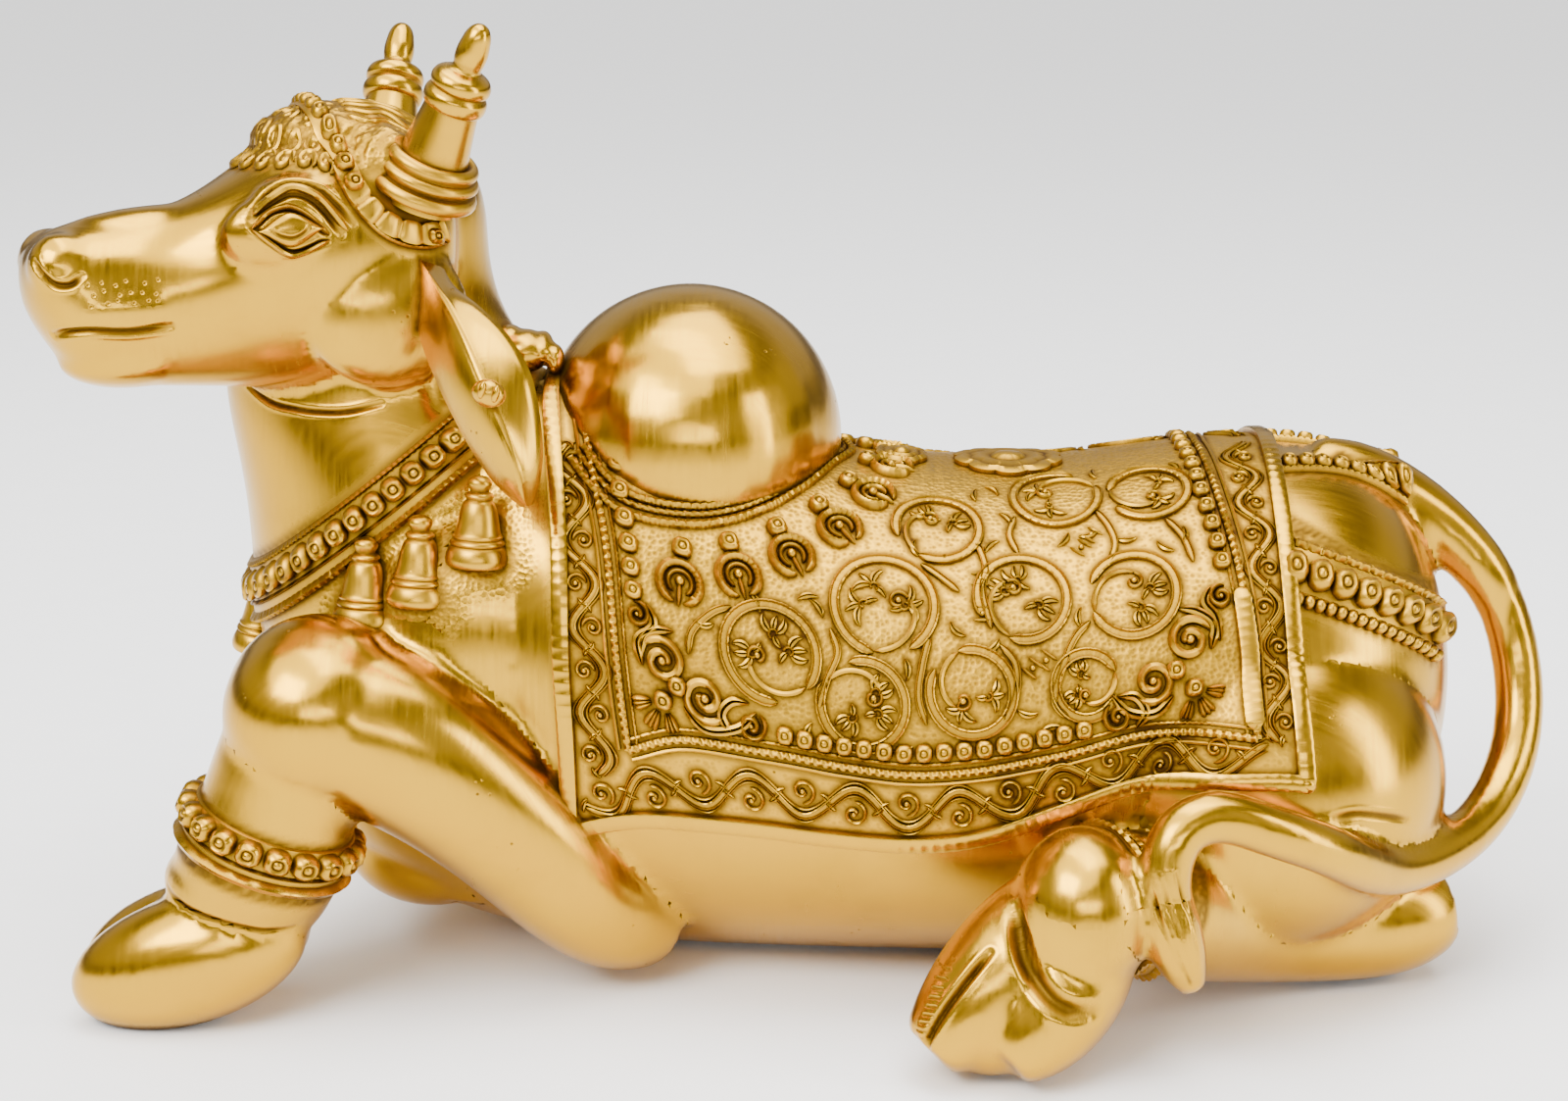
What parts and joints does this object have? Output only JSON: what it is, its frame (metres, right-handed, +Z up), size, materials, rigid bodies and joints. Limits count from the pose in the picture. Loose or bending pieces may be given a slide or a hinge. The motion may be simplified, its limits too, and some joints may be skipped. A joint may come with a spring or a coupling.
{
  "type": "nandi figure",
  "caption": "Cast brass figure of a reclining bull with a saddle cloth, garlands and bells in relief, free-standing shrine ornament",
  "frame": {"origin": "middle of the figure's length and width, on the plane it stands on", "axes": "+X from head to tail, +Y to the right side of the bull, +Z up"},
  "size_m": [0.4122, 0.2424, 0.2612],
  "materials": {
    "brass": "hand-polished high spots over dark patina in the recesses"
  },
  "bodies": {
    "figure": {"anklet_fore_left": "brass", "anklet_fore_right": "brass", "anklet_hind_left": "brass", "anklet_hind_right": "brass", "bell_front": "brass", "bell_left_1": "brass", "bell_left_2": "brass", "bell_left_3": "brass", "bell_right_1": "brass", "bell_right_2": "brass", "bell_right_3": "brass", "brow_band": "brass", "chest_strap": "brass", "cloth_beads_left": "brass", "cloth_beads_right": "brass", "cloth_hem": "brass", "cloth_inner_rail": "brass", "corner_scrolls_left": "brass", "corner_scrolls_right": "brass", "crupper_left": "brass", "crupper_right": "brass", "ear_left": "brass", "ear_right": "brass", "eye_left": "brass", "eye_right": "brass", "field_medallions_left": "brass", "field_medallions_right": "brass", "fore_hoof_left": "brass", "fore_hoof_right": "brass", "foreleg_left_cannon": "brass", "foreleg_left_forearm": "brass", "foreleg_right_cannon": "brass", "foreleg_right_forearm": "brass", "forelock_curls": "brass", "garland_pendants_left": "brass", "garland_pendants_right": "brass", "head_shell": "brass", "hind_hoof_left": "brass", "hind_hoof_right": "brass", "hindleg_left_shank": "brass", "hindleg_left_thigh": "brass", "hindleg_right_shank": "brass", "hindleg_right_thigh": "brass", "horn_cap_left": "brass", "horn_cap_right": "brass", "horn_left": "brass", "horn_right": "brass", "horn_ring_left": "brass", "horn_ring_right": "brass", "hump": "brass", "hump_garland": "brass", "nape_knot": "brass", "neck_and_chest_shell": "brass", "neck_band": "brass", "neck_band_beads": "brass", "saddle_cloth": "brass", "spine_medallion": "brass", "tail": "brass", "tail_tuft": "brass", "trunk_shell": "brass"}
  },
  "joints": []
}
